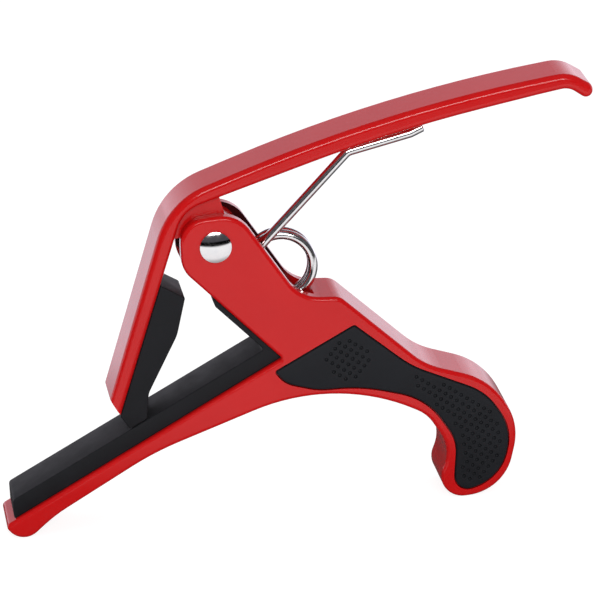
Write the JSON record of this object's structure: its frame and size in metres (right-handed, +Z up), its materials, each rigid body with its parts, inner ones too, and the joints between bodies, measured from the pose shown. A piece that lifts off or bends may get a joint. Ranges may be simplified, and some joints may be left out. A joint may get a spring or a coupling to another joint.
{
  "type": "guitar capo",
  "caption": "Spring clamp with a padded bar and a lever tail that grip a guitar neck from both sides, with rubber-faced handles squeezed to open it.",
  "frame": {"origin": "middle of the string pad's working face, half way across the width; the pivot pin's axis is 17.52 mm along +X and 36.91 mm up from it", "axes": "+X from the bar's tip towards the handles, +Y across the width to the rear side (along the pivot pin), +Z up with the capo standing on its bar tip and its hook"},
  "size_m": [0.1233, 0.0146, 0.0884],
  "materials": {
    "red_paint": "smooth semi-gloss red powder coat on a zinc die casting",
    "pin_chrome": "polished plated rivet",
    "spring_chrome": "bright nickel-plated round spring wire",
    "pad_rubber": "smooth matt black silicone rubber",
    "grip_rubber": "matt black rubber with moulded dimples"
  },
  "bodies": {
    "fixed_arm": {"frame": "red_paint", "pivot_pin": "pin_chrome", "string_pad": "pad_rubber", "grip_inlay_front": "grip_rubber", "grip_inlay_rear": "grip_rubber", "spring_coil": "spring_chrome"},
    "moving_lever": {"lever": "red_paint", "neck_pad": "pad_rubber"},
    "spring_arm": {"spring_leg": "spring_chrome"}
  },
  "joints": [
    {"name": "lever_hinge", "type": "hinge", "parent": "fixed_arm", "child": "moving_lever", "pos_m": [0.01752, 0, 0.03691], "axis": [0, 1, 0], "range_deg": [0, 40], "stiffness_Nm_per_rad": 0.9, "springref_deg": -42.97},
    {"name": "spring_leg_turn", "type": "hinge", "parent": "fixed_arm", "child": "spring_arm", "pos_m": [0.03122, 0, 0.02981], "axis": [0, 1, 0], "range_deg": [0, 64], "deforming": ["spring_coil"]}
  ],
  "couplings": [
    {"joint": "spring_leg_turn", "follows": "lever_hinge", "ratio": 1.6}
  ]
}
